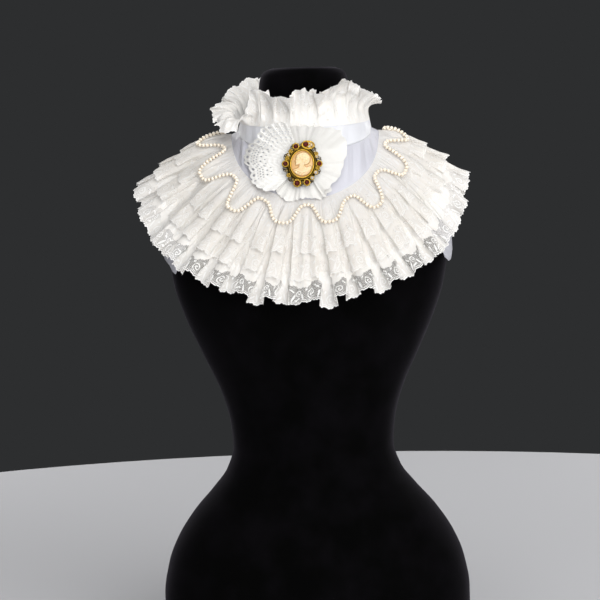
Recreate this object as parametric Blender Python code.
"""A tiered lace ruff collar with a jabot, a cameo brooch and festoons of pearls, on a dress form.

Lengths are millimetres until mesh_object() turns them into metres. +Z is up, the front faces -Y, and
the origin is the middle of the dress form's flat foot. The collar opens at the centre back. Angles
round it run anticlockwise from +X, seen from above: the front is at 270 degrees and the back at 90.
"""

import math
from collections import namedtuple

import bmesh
import bpy
from mathutils import Matrix, Vector

METRES = 0.001
SEAM_GAP = 0.4

SATIN_WALL = 1.6
LACE_WALL = 1.2

# A level ring of the dress form: half its width, its reach forward and back, and how square it is.
# A power of 2 is an ellipse, and less than 2 is pointed at the shoulders.
FormRing = namedtuple("FormRing", "height half_width front back power")
FORM_RINGS = [
    FormRing(0, 194, 112, 122, 2.2),
    FormRing(6, 197, 114, 126, 2.2),
    FormRing(68, 197, 115, 127, 2.2),
    FormRing(110, 190, 112, 122, 2.2),
    FormRing(140, 178, 106, 114, 2.2),
    FormRing(174, 156, 98, 101, 2.2),
    FormRing(204, 130, 88, 88, 2.1),
    FormRing(228, 112, 82, 80, 2.1),
    FormRing(258, 103, 79, 77, 2.1),
    FormRing(291, 106, 80, 79, 2.1),
    FormRing(328, 116, 85, 84, 2.1),
    FormRing(379, 139, 94, 92, 2.1),
    FormRing(425, 159, 99, 98, 2.1),
    FormRing(465, 172, 100, 101, 2.1),
    FormRing(500, 177, 95, 101, 2.0),
    FormRing(535, 178, 88, 98, 1.9),
    FormRing(563, 176, 81, 94, 1.75),
    FormRing(585, 173, 75, 88, 1.6),
    FormRing(609, 169.1, 69, 84, 1.4),
    FormRing(621, 152, 66, 80, 1.35),
    FormRing(632, 129, 64, 75, 1.35),
    FormRing(641, 101, 62, 70, 1.4),
    FormRing(650, 75, 60, 65, 1.6),
    FormRing(668, 60, 58, 60, 2.0),
    FormRing(718, 56.5, 56.5, 56.5, 2.0),
    FormRing(729, 54, 54, 54, 2.0),
    FormRing(735, 48.5, 48.5, 48.5, 2.0),
    FormRing(738, 40, 40, 40, 2.0),
]
FORM_SIDES = 36
BUST_DEPTH = 20
BUST_HEIGHT = 442
BUST_APART = 72
BUST_SPREAD = 44

# A ring of the collar: half its width, its reach, and its height over the shoulder, in front and behind.
Ring = namedtuple("Ring", "half_width front back side_z front_z back_z")
COLLAR_POWER = 2.4
RIDGE_SOFTNESS = 0.11
OPENING_GAP = 1.0

# The satin foundation, from the neckband seam over the shoulders to its hem.
SEAM_RING = Ring(83, 80, 76, 661, 636, 655)
FOUNDATION_RINGS = {
    "seam": SEAM_RING,
    "neckline": Ring(93, 97, 90, 656, 575, 627),
    "middle_seat": Ring(120, 103, 97, 645, 547, 604),
    "lower_seat": Ring(149, 109, 103, 629, 519, 580),
    "shoulder": Ring(170, 113, 107, 610, 503, 558),
    "upper_arm": Ring(180, 115, 110, 575, 493, 535),
    "hem": Ring(183, 117, 112, 505, 483, 508),
}
FOUNDATION_SIDES = 44
BAND_RISE = 1.1
BAND_TOP_RING = Ring(81, 76, 71, 674, 665, 688)

# A gathered tier: the foundation ring it is sewn to, the ring its free edge follows, how far it arches
# between them, the height of its waves and how far round they are shifted.
Tier = namedtuple("Tier", "name seat edge arch wave_height lead")
TIERS = [
    Tier("tier_top", "neckline", Ring(162, 134, 132, 640, 510, 571), 3.0, 4.6, 0.0),
    Tier("tier_middle", "middle_seat", Ring(188, 144, 143, 622, 481, 543), 0.5, 5.6, 0.08),
    Tier("tier_lower", "lower_seat", Ring(214, 157, 157, 594, 453, 514), 0.0, 7.2, 0.2),
]
TIER_WAVES = 36
COLUMNS_PER_WAVE = 4
SLOPE_STEP = 0.003
TIER_ROWS = (0.0, 0.3, 0.66, 1.0)
WAVE_GROWTH = 0.85
CREST_SPREAD = 0.14
# Slow unevenness of the waves: how many times it repeats round the collar, and how strong it is.
Wobble = namedtuple("Wobble", "cycles phase_shift height_share")
WOBBLES = [Wobble(5, 0.9, 0.14), Wobble(11, 0.6, 0.16), Wobble(17, 0.35, 0.16)]

# The free edge of the neck ruffle, by the angle round it: its reach and height, how far the cloth
# arches on its way there, and how wavy it is.
RuffleStation = namedtuple("RuffleStation", "angle reach height arch waviness")
RUFFLE_STATIONS = [
    RuffleStation(0, 95, 694, 9, 0.9),
    RuffleStation(25, 97, 707, 8, 1.0),
    RuffleStation(60, 93, 725, 6, 1.0),
    RuffleStation(90, 88, 729, 5, 1.0),
    RuffleStation(120, 95, 728, 6, 0.9),
    RuffleStation(145, 108, 718, 8, 0.6),
    RuffleStation(170, 117, 697, 9, 0.35),
    RuffleStation(186, 115, 679, 10, 0.4),
    RuffleStation(200, 111, 662, 11, 0.4),
    RuffleStation(212, 105, 688, 9, 0.5),
    RuffleStation(224, 96, 715, 7, 0.6),
    RuffleStation(237, 91, 707, 6, 0.7),
    RuffleStation(253, 92, 698, 6, 0.75),
    RuffleStation(270, 92, 707, 6, 0.8),
    RuffleStation(285, 92, 705, 8, 0.75),
    RuffleStation(302, 101, 718, 13, 0.7),
    RuffleStation(320, 96, 718, 10, 0.8),
    RuffleStation(340, 98, 699, 9, 0.8),
    RuffleStation(360, 95, 694, 9, 0.9),
]
RUFFLE_WAVES = 22
RUFFLE_ROWS = (0.0, 0.35, 0.7, 1.0)
RUFFLE_WAVE_HEIGHT = 5.0
RUFFLE_LEAD = 0.4

# The jabot's fans open round the brooch, and each lies over the one before. An outline gives the fan's
# reach by the angle on the collar's front, anticlockwise from the wearer's left. The pleats run outwards
# from the brooch, and a fan whose ends lie under the next has a negative pleat height: it ends low.
Fan = namedtuple("Fan", "name finish lift rise pleats pleat_height outline")
Reach = namedtuple("Reach", "angle reach")
FANS = [
    Fan("jabot_tails", "organza", 2.3, 4.6, 5, -1.1,
        [Reach(208, 42), Reach(232, 46), Reach(248, 45), Reach(262, 40), Reach(272, 37), Reach(285, 40),
         Reach(300, 46), Reach(320, 46)]),
    Fan("jabot_lobe", "organza", 4.1, 7.5, 9, -1.4,
        [Reach(-58, 43), Reach(-40, 43), Reach(-20, 48), Reach(0, 51), Reach(18, 59), Reach(38, 62),
         Reach(60, 52), Reach(80, 47), Reach(110, 48)]),
    Fan("jabot_lace", "guipure", 5.8, 10.8, 9, 1.4,
        [Reach(107, 53), Reach(124, 61), Reach(138, 66), Reach(150, 62), Reach(160, 70), Reach(174, 72),
         Reach(186, 62), Reach(197, 67), Reach(208, 59), Reach(222, 56)]),
]
FAN_ROWS = (0.0, 0.35, 0.7, 1.0)
FAN_START = 13
COLUMNS_PER_PLEAT = 4
PLEAT_GROWTH = 1.5

# The brooch, with its face on the plane (u, v) and w standing out of it.
BROOCH_ACROSS = -5
BROOCH_HEIGHT = 618
BROOCH_LIFT = 8.9
BROOCH_TURN = 6
BROOCH_LEAN = 11
CAMEO_HALF_WIDTH = 13.6
CAMEO_HALF_HEIGHT = 16.6
CAMEO_DOME = 3.6
# A ring of the brooch's bezel: its size as a share of the cameo's, and its height.
BezelRing = namedtuple("BezelRing", "share height")
BEZEL_RINGS = [BezelRing(1.03, 1.6), BezelRing(1.06, 5.0), BezelRing(1.16, 5.2), BezelRing(1.24, 3.0)]
FILIGREE_INNER_SHARE = 1.38
FILIGREE_OUTER_SHARE = 1.72
FILIGREE_HEIGHT = 4.0
FILIGREE_EDGE = 1.4
FILIGREE_LOBES = 10
FILIGREE_LOBE_DEPTH = 0.085
BROOCH_SIDES = 40
Stone = namedtuple("Stone", "name u v radius")
STONES = [
    Stone("stone_top", 2.5, 24.6, 3.4),
    Stone("stone_upper_left", -9.3, 21.0, 3.0),
    Stone("stone_left", -20.5, -1.5, 3.0),
    Stone("stone_right", 20.8, 1.8, 3.0),
    Stone("stone_bottom", -4.2, -24.3, 3.4),
    Stone("stone_lower_right", 7.6, -22.4, 3.0),
]
STONE_SIDES = 8
STONE_RISE_SHARE = 0.6
# A dome's rings: their size as a share of its foot, and how far up they stand.
DOME_RINGS = ((1.0, 0.0), (0.94, 0.45), (0.72, 0.8), (0.36, 1.0))

# The pearl strand: it rests near the neckline and drops between. Angles are from the centre front, on
# both sides, and depths are shares of the way down the top tier.
Festoon = namedtuple("Festoon", "rest_angle rest_depth drop_angle drop_depth")
FESTOONS = [
    Festoon(0, 0.13, 13.5, 0.50),
    Festoon(28.5, 0.20, 40, 0.62),
    Festoon(51, 0.18, 66, 0.66),
    Festoon(74, 0.14, 85, 0.60),
    Festoon(94, 0.12, 105, 0.60),
    Festoon(115, 0.12, 126, 0.55),
    Festoon(137, 0.12, 149, 0.50),
    Festoon(161, 0.12, 170, 0.42),
]
STRAND_END_ANGLE = 178
STRAND_RADIUS = 2.7
STRAND_STEPS = 7
STRAND_SIDES = 5

# Hooks that hold the neckband shut behind.
HOOK_HEIGHTS = {"hook_upper": 0.72, "hook_lower": 0.28}
HOOK_LENGTH = 12
HOOK_WIDTH = 3
HOOK_THICKNESS = 1.2


def clear_scene():
    for obj in list(bpy.data.objects):
        bpy.data.objects.remove(obj, do_unlink=True)


def material(name, colour, roughness, metallic=0.0):
    made = bpy.data.materials.new(name)
    made.use_nodes = True
    shader = made.node_tree.nodes["Principled BSDF"]
    shader.inputs["Base Color"].default_value = (*colour, 1.0)
    shader.inputs["Roughness"].default_value = roughness
    shader.inputs["Metallic"].default_value = metallic
    return made


def mesh_object(name, points, faces, finish):
    """A named object from points in millimetres, with its faces turned outwards."""
    mesh = bpy.data.meshes.new(name)
    mesh.from_pydata([tuple(Vector(p) * METRES) for p in points], [], faces)
    work = bmesh.new()
    work.from_mesh(mesh)
    bmesh.ops.recalc_face_normals(work, faces=work.faces)
    work.to_mesh(mesh)
    work.free()
    mesh.shade_smooth()
    mesh.materials.append(finish)
    obj = bpy.data.objects.new(name, mesh)
    bpy.context.scene.collection.objects.link(obj)
    return obj


def blend(first, second, share):
    """A row of a table part of the way from one row to another, column by column."""
    return type(first)(*(a + (b - a) * share for a, b in zip(first, second)))


def swing(share):
    """Eases a share from 0 to 1 at both ends."""
    return (1 - math.cos(math.pi * share)) / 2


def smooth_between(rows, angle):
    """A row of a table at an angle, easing from each row to the next."""
    for before, after in zip(rows, rows[1:]):
        if angle <= after.angle or after is rows[-1]:
            share = (angle - before.angle) / (after.angle - before.angle)
            return blend(before, after, swing(share))


def oval_reach(angle, power):
    """Length by which cos and sin are stretched to lie on a squared oval of half-width 1."""
    return (abs(math.cos(angle)) ** power + abs(math.sin(angle)) ** power) ** (-1 / power)


def wall(name, middle, thickness, finish):
    """A closed wall around a grid of middle points: thickness is shared between its two faces."""
    rows, columns = len(middle), len(middle[0])
    points = [middle[r][c] + grid_normal(middle, r, c) * side * thickness / 2
              for side in (1, -1) for r in range(rows) for c in range(columns)]

    def corner(side, r, c):
        return side * rows * columns + r * columns + c

    faces = []
    for r in range(rows - 1):
        for c in range(columns - 1):
            for side in (0, 1):
                faces.append([corner(side, r, c), corner(side, r, c + 1),
                              corner(side, r + 1, c + 1), corner(side, r + 1, c)])
    rim = [(0, c) for c in range(columns)] + [(r, columns - 1) for r in range(1, rows)]
    rim += [(rows - 1, c) for c in range(columns - 2, -1, -1)] + [(r, 0) for r in range(rows - 2, 0, -1)]
    for (r0, c0), (r1, c1) in zip(rim, rim[1:] + rim[:1]):
        faces.append([corner(0, r0, c0), corner(0, r1, c1), corner(1, r1, c1), corner(1, r0, c0)])
    return mesh_object(name, points, faces, finish)


def grid_normal(middle, r, c):
    """Outward direction at a grid point, from its neighbours."""
    above, below = middle[max(r - 1, 0)][c], middle[min(r + 1, len(middle) - 1)][c]
    before, after = middle[r][max(c - 1, 0)], middle[r][min(c + 1, len(middle[0]) - 1)]
    return (below - above).cross(after - before).normalized()


# ---- Dress form ----


def form_point(ring, angle):
    along, across = math.cos(angle), math.sin(angle)
    stretch = oval_reach(angle, ring.power)
    x = ring.half_width * along * stretch
    y = (ring.back if across > 0 else ring.front) * across * stretch
    if across < 0:
        rise = (ring.height - BUST_HEIGHT) / BUST_SPREAD
        for side in (-1, 1):
            aside = (x - side * BUST_APART) / BUST_SPREAD
            y -= BUST_DEPTH * math.exp(-rise * rise - aside * aside)
    return Vector((x, y, ring.height))


def dress_form(finish):
    turns = [2 * math.pi * i / FORM_SIDES for i in range(FORM_SIDES)]
    points = [form_point(ring, turn) for ring in FORM_RINGS for turn in turns]
    faces = []
    for r in range(len(FORM_RINGS) - 1):
        for i in range(FORM_SIDES):
            after = (i + 1) % FORM_SIDES
            low, high = r * FORM_SIDES, (r + 1) * FORM_SIDES
            faces.append([low + i, low + after, high + after, high + i])
    top = (len(FORM_RINGS) - 1) * FORM_SIDES
    faces.append([i for i in reversed(range(FORM_SIDES))])
    faces.append([top + i for i in range(FORM_SIDES)])
    return mesh_object("dress_form", points, faces, finish)


# ---- Satin foundation and neckband ----


def ridge_drop(lean):
    """How much of the drop from the shoulder is reached: 0 over the shoulder, 1 in front or behind."""
    whole = math.hypot(1, RIDGE_SOFTNESS) - RIDGE_SOFTNESS
    return (math.hypot(lean, RIDGE_SOFTNESS) - RIDGE_SOFTNESS) / whole


def ring_point(ring, angle):
    along, across = math.cos(angle), math.sin(angle)
    stretch = oval_reach(angle, COLLAR_POWER)
    reach = ring.back if across > 0 else ring.front
    end_z = ring.back_z if across > 0 else ring.front_z
    height = ring.side_z + (end_z - ring.side_z) * ridge_drop(abs(across))
    return Vector((ring.half_width * along * stretch, reach * across * stretch, height))


def collar_angle(share, reach):
    """Angle at a share of the way round, from one side of the back opening to the other."""
    gap = OPENING_GAP / reach
    return math.pi / 2 + gap + share * (2 * math.pi - 2 * gap)


def on_ring(ring, share):
    return ring_point(ring, collar_angle(share, ring.back))


def foundation(finish):
    middle = [[on_ring(ring, c / FOUNDATION_SIDES) for c in range(FOUNDATION_SIDES + 1)]
              for ring in FOUNDATION_RINGS.values()]
    return wall("foundation", middle, SATIN_WALL, finish)


def band_ring(up):
    """A ring of the neckband, from its seam with the foundation, 0, to its top edge, 1."""
    low = SEAM_RING._replace(side_z=SEAM_RING.side_z + BAND_RISE, front_z=SEAM_RING.front_z + BAND_RISE,
                             back_z=SEAM_RING.back_z + BAND_RISE)
    return blend(low, BAND_TOP_RING, up)


def neckband(finish):
    middle = [[on_ring(band_ring(up), c / FOUNDATION_SIDES) for c in range(FOUNDATION_SIDES + 1)]
              for up in (1.0, 0.5, 0.0)]
    return wall("neckband", middle, SATIN_WALL, finish)


# ---- Gathered cloth ----


def wave_phase(share, waves, lead):
    """Turn of the wave train at a share of the way round: whole waves, unevenly spaced."""
    shift = sum(w.phase_shift * math.sin(2 * math.pi * w.cycles * share) for w in WOBBLES)
    return 2 * math.pi * waves * share + shift + lead * math.sin(math.pi * share)


def wave_size(share):
    """Height of the waves near a share of the way round, about 1."""
    turn = 2 * math.pi * share
    return 1 + sum(w.height_share * math.sin((w.cycles + 3) * turn + w.cycles) for w in WOBBLES)


def even_phase_shares(waves, lead):
    """Shares of the way round at which the wave train has turned through equal angles."""
    shares = []
    for step in range(waves * COLUMNS_PER_WAVE + 1):
        goal, low, high = 2 * math.pi * step / COLUMNS_PER_WAVE, 0.0, 1.0
        for _ in range(30):
            half = (low + high) / 2
            low, high = (half, high) if wave_phase(half, waves, lead) < goal else (low, half)
        shares.append((low + high) / 2)
    return shares


def gathered_grid(guide, rows, waves, lead, wave_height, edge_length):
    """The middle grid of a gathered strip: waves on the guide surface that grow away from the seam.

    wave_height is a function of the share of the way round.
    """
    shares = even_phase_shares(waves, lead)
    flat = [[guide(share, row) for share in shares] for row in rows]
    pitch = edge_length / waves
    middle = []
    for r, row in enumerate(rows):
        growth = max(row, 0.0) ** WAVE_GROWTH
        line = []
        for c, share in enumerate(shares):
            phase = wave_phase(share, waves, lead)
            before, after = flat[r][max(c - 1, 0)], flat[r][min(c + 1, len(shares) - 1)]
            lift = grid_normal(flat, r, c) * wave_height(share) * wave_size(share) * math.cos(phase)
            sway = (after - before).normalized() * CREST_SPREAD * pitch * math.sin(phase)
            line.append(flat[r][c] + (lift + sway) * growth)
        middle.append(line)
    return middle


def tier_guide(tier):
    """The tier without its waves: from its seat on the foundation to its free edge."""
    names = list(FOUNDATION_RINGS)
    seat = FOUNDATION_RINGS[tier.seat]
    beyond = FOUNDATION_RINGS[names[names.index(tier.seat) + 1]]
    rise = SATIN_WALL / 2 + SEAM_GAP + LACE_WALL / 2

    def surface(share, row):
        start = on_ring(seat, share)
        slope = on_ring(beyond, share) - start
        after, before = min(share + SLOPE_STEP, 1.0), max(share - SLOPE_STEP, 0.0)
        along = on_ring(seat, after) - on_ring(seat, before)
        normal = slope.cross(along).normalized()
        start = start + normal * rise
        end = on_ring(tier.edge, share)
        return start.lerp(end, row) + normal * tier.arch * math.sin(math.pi * row)

    return surface


def tier_grid(tier):
    edge_length = math.pi * (tier.edge.half_width + tier.edge.front)
    return gathered_grid(tier_guide(tier), TIER_ROWS, TIER_WAVES, tier.lead,
                         lambda share: tier.wave_height, edge_length)


def gathered_tier(tier, finish):
    return wall(tier.name, tier_grid(tier), LACE_WALL, finish)


def ruffle_station(share):
    angle = collar_angle(share, BAND_TOP_RING.back)
    return smooth_between(RUFFLE_STATIONS, math.degrees(angle) % 360)


def ruffle_guide(share, row):
    """The neck ruffle without its waves: up from the neckband and outwards to its stations."""
    seam = on_ring(BAND_TOP_RING, share) + Vector((0, 0, SEAM_GAP + LACE_WALL / 2))
    angle = collar_angle(share, BAND_TOP_RING.back)
    station = ruffle_station(share)
    outward = Vector((math.cos(angle), math.sin(angle), 0))
    edge = outward * station.reach + Vector((0, 0, station.height))
    run = edge - seam
    above = (outward * -run.z + Vector((0, 0, run.dot(outward)))).normalized()
    return seam + run * row + above * station.arch * math.sin(math.pi * row)


def neck_ruffle(finish):
    edge_length = 2 * math.pi * RUFFLE_STATIONS[0].reach
    middle = gathered_grid(ruffle_guide, RUFFLE_ROWS, RUFFLE_WAVES, RUFFLE_LEAD,
                           lambda share: RUFFLE_WAVE_HEIGHT * ruffle_station(share).waviness, edge_length)
    return wall("neck_ruffle", middle, LACE_WALL, finish)


# ---- Jabot ----


def front_point(x, z, lift):
    """A point in front of the collar's throat, lifted off the neckband and foundation."""
    neckline = FOUNDATION_RINGS["neckline"]
    share = (SEAM_RING.front_z - z) / (SEAM_RING.front_z - neckline.front_z)
    reach = SEAM_RING.front + (neckline.front - SEAM_RING.front) * max(share, 0)
    width = SEAM_RING.half_width + (neckline.half_width - SEAM_RING.half_width) * max(share, 0)
    bow = (1 - (abs(x) / width) ** COLLAR_POWER) ** (1 / COLLAR_POWER)
    return Vector((x, -reach * bow - lift, z))


def fan_grid(fan):
    columns = fan.pleats * COLUMNS_PER_PLEAT
    first, last = fan.outline[0].angle, fan.outline[-1].angle
    middle = []
    for row in FAN_ROWS:
        line = []
        for c in range(columns + 1):
            angle = first + (last - first) * c / columns
            reach = FAN_START + (smooth_between(fan.outline, angle).reach - FAN_START) * row
            phase = 2 * math.pi * c / COLUMNS_PER_PLEAT
            pleat = fan.pleat_height * row**PLEAT_GROWTH * math.cos(phase)
            lift = fan.lift + fan.rise * row * row + pleat
            turn = math.radians(angle)
            x, z = BROOCH_ACROSS + reach * math.cos(turn), BROOCH_HEIGHT + reach * math.sin(turn)
            line.append(front_point(x, z, lift))
        middle.append(line)
    return middle


def jabot_fan(fan, finish):
    return wall(fan.name, fan_grid(fan), LACE_WALL, finish)


# ---- Brooch ----


def brooch_matrix():
    centre = front_point(BROOCH_ACROSS, BROOCH_HEIGHT, BROOCH_LIFT)
    face_forward = Matrix.Rotation(math.radians(90 - BROOCH_LEAN), 4, "X")
    turned = Matrix.Rotation(math.radians(-BROOCH_TURN), 4, "Z")
    return Matrix.Translation(centre) @ face_forward @ turned


def brooch_object(name, points, faces, finish):
    place = brooch_matrix()
    return mesh_object(name, [place @ Vector(p) for p in points], faces, finish)


def turned_piece(name, rings, finish):
    """A closed piece through rings of (u, v, w) points: its first and last rings are closed to fans."""
    sides = len(rings[0])
    points = [p for ring in rings for p in ring]
    faces = []
    for r in range(len(rings) - 1):
        for i in range(sides):
            after = (i + 1) % sides
            low, high = r * sides, (r + 1) * sides
            faces.append([low + i, low + after, high + after, high + i])
    faces.append([i for i in reversed(range(sides))])
    faces.append([(len(rings) - 1) * sides + i for i in range(sides)])
    return brooch_object(name, points, faces, finish)


def brooch_ring(share, height, lobes=0.0):
    ring = []
    for i in range(BROOCH_SIDES):
        turn = 2 * math.pi * i / BROOCH_SIDES
        scale = share * (1 + lobes * math.cos(FILIGREE_LOBES * turn))
        u, v = CAMEO_HALF_WIDTH * math.cos(turn), CAMEO_HALF_HEIGHT * math.sin(turn)
        ring.append((u * scale, v * scale, height))
    return ring


def brooch_frame(finish):
    """Antique filigree: a raised bezel and a lobed border over a flat back."""
    rings = [brooch_ring(ring.share, ring.height) for ring in BEZEL_RINGS]
    outer, lobes = FILIGREE_OUTER_SHARE, FILIGREE_LOBE_DEPTH
    rings.append(brooch_ring(FILIGREE_INNER_SHARE, FILIGREE_HEIGHT))
    rings.append(brooch_ring(outer - lobes, FILIGREE_HEIGHT, lobes))
    rings.append(brooch_ring(outer, FILIGREE_EDGE, lobes))
    rings.append(brooch_ring(outer, 0, lobes))
    return turned_piece("brooch_frame", rings, finish)


def dome(name, middle, half_width, half_height, base, rise, sides, finish):
    u, v = middle
    rings = []
    for share, up in DOME_RINGS:
        ring = []
        for i in range(sides):
            turn = 2 * math.pi * i / sides
            across, along = half_width * share * math.cos(turn), half_height * share * math.sin(turn)
            ring.append((u + across, v + along, base + rise * up))
        rings.append(ring)
    return turned_piece(name, rings, finish)


def cameo(finish):
    half_width, half_height = CAMEO_HALF_WIDTH - SEAM_GAP, CAMEO_HALF_HEIGHT - SEAM_GAP
    floor = BEZEL_RINGS[0].height + SEAM_GAP
    return dome("cameo", (0, 0), half_width, half_height, floor, CAMEO_DOME, BROOCH_SIDES // 2, finish)


def brooch_stone(stone, finish):
    seat, rise = FILIGREE_HEIGHT + SEAM_GAP, stone.radius * STONE_RISE_SHARE
    return dome(stone.name, (stone.u, stone.v), stone.radius, stone.radius, seat, rise, STONE_SIDES, finish)


# ---- Pearls and hooks ----


def strand_path():
    """Places along the strand as (angle from the centre front, share of the way down the top tier)."""
    knots = []
    for festoon in FESTOONS:
        knots += [(festoon.rest_angle, festoon.rest_depth), (festoon.drop_angle, festoon.drop_depth)]
    knots.append((STRAND_END_ANGLE, FESTOONS[-1].rest_depth))
    half = []
    for (angle, depth), (next_angle, next_depth) in zip(knots, knots[1:]):
        for step in range(STRAND_STEPS):
            share = step / STRAND_STEPS
            ease = swing(swing(share))
            half.append((angle + (next_angle - angle) * share, depth + (next_depth - depth) * ease))
    half.append(knots[-1])
    return [(-angle, depth) for angle, depth in reversed(half[1:])] + half


def over_crests(tier, share, row):
    """A point above the crests of a tier's waves, and the outward direction there."""
    guide = tier_guide(tier)
    point = guide(share, row)
    across = guide(min(share + SLOPE_STEP, 1.0), row) - guide(max(share - SLOPE_STEP, 0.0), row)
    normal = (guide(share, row + SLOPE_STEP) - point).cross(across).normalized()
    crest = tier.wave_height * wave_size(share) * row**WAVE_GROWTH
    return point + normal * (crest + LACE_WALL / 2 + SEAM_GAP + STRAND_RADIUS), normal


def pearl_strand(finish):
    places = [over_crests(TIERS[0], 0.5 + angle / 360, depth) for angle, depth in strand_path()]
    path = [point for point, _ in places]
    points, faces = [], []
    for i, (point, normal) in enumerate(places):
        along = (path[min(i + 1, len(path) - 1)] - path[max(i - 1, 0)]).normalized()
        aside = along.cross(normal).normalized()
        above = aside.cross(along)
        for s in range(STRAND_SIDES):
            turn = 2 * math.pi * s / STRAND_SIDES
            points.append(point + (aside * math.cos(turn) + above * math.sin(turn)) * STRAND_RADIUS)
    for i in range(len(path) - 1):
        for s in range(STRAND_SIDES):
            after = (s + 1) % STRAND_SIDES
            low, high = i * STRAND_SIDES, (i + 1) * STRAND_SIDES
            faces.append([low + s, low + after, high + after, high + s])
    last = (len(path) - 1) * STRAND_SIDES
    faces.append([s for s in reversed(range(STRAND_SIDES))])
    faces.append([last + s for s in range(STRAND_SIDES)])
    return mesh_object("pearl_strand", points, faces, finish)


def back_hook(name, up, finish):
    ring = band_ring(up)
    behind = ring.back + SATIN_WALL / 2 + SEAM_GAP
    half, thick, width = HOOK_LENGTH / 2, HOOK_THICKNESS, HOOK_WIDTH / 2
    corners = [(x, y, z) for x in (-half, half) for y in (behind, behind + thick)
               for z in (ring.back_z - width, ring.back_z + width)]
    faces = [(0, 1, 3, 2), (4, 6, 7, 5), (0, 4, 5, 1), (2, 3, 7, 6), (0, 2, 6, 4), (1, 5, 7, 3)]
    return mesh_object(name, corners, faces, finish)


def main():
    clear_scene()
    velvet = material("velvet", (0.012, 0.011, 0.013), 0.9)
    satin = material("satin", (0.82, 0.82, 0.90), 0.4)
    lace = material("ivory_lace", (0.88, 0.85, 0.80), 0.75)
    jabot_cloth = {"organza": material("organza", (0.93, 0.92, 0.93), 0.6),
                   "guipure": material("guipure", (0.95, 0.93, 0.90), 0.8)}
    gold = material("antique_gold", (0.62, 0.42, 0.10), 0.35, 1.0)
    shell = material("cameo_shell", (0.93, 0.66, 0.40), 0.4)
    garnet = material("garnet", (0.16, 0.01, 0.01), 0.1)
    pearl = material("pearl", (0.92, 0.85, 0.70), 0.25)
    steel = material("steel", (0.6, 0.6, 0.6), 0.3, 1.0)
    dress_form(velvet)
    foundation(satin)
    neckband(satin)
    for tier in TIERS:
        gathered_tier(tier, lace)
    neck_ruffle(lace)
    for fan in FANS:
        jabot_fan(fan, jabot_cloth[fan.finish])
    brooch_frame(gold)
    cameo(shell)
    for stone in STONES:
        brooch_stone(stone, garnet)
    pearl_strand(pearl)
    for name, up in HOOK_HEIGHTS.items():
        back_hook(name, up, steel)


main()
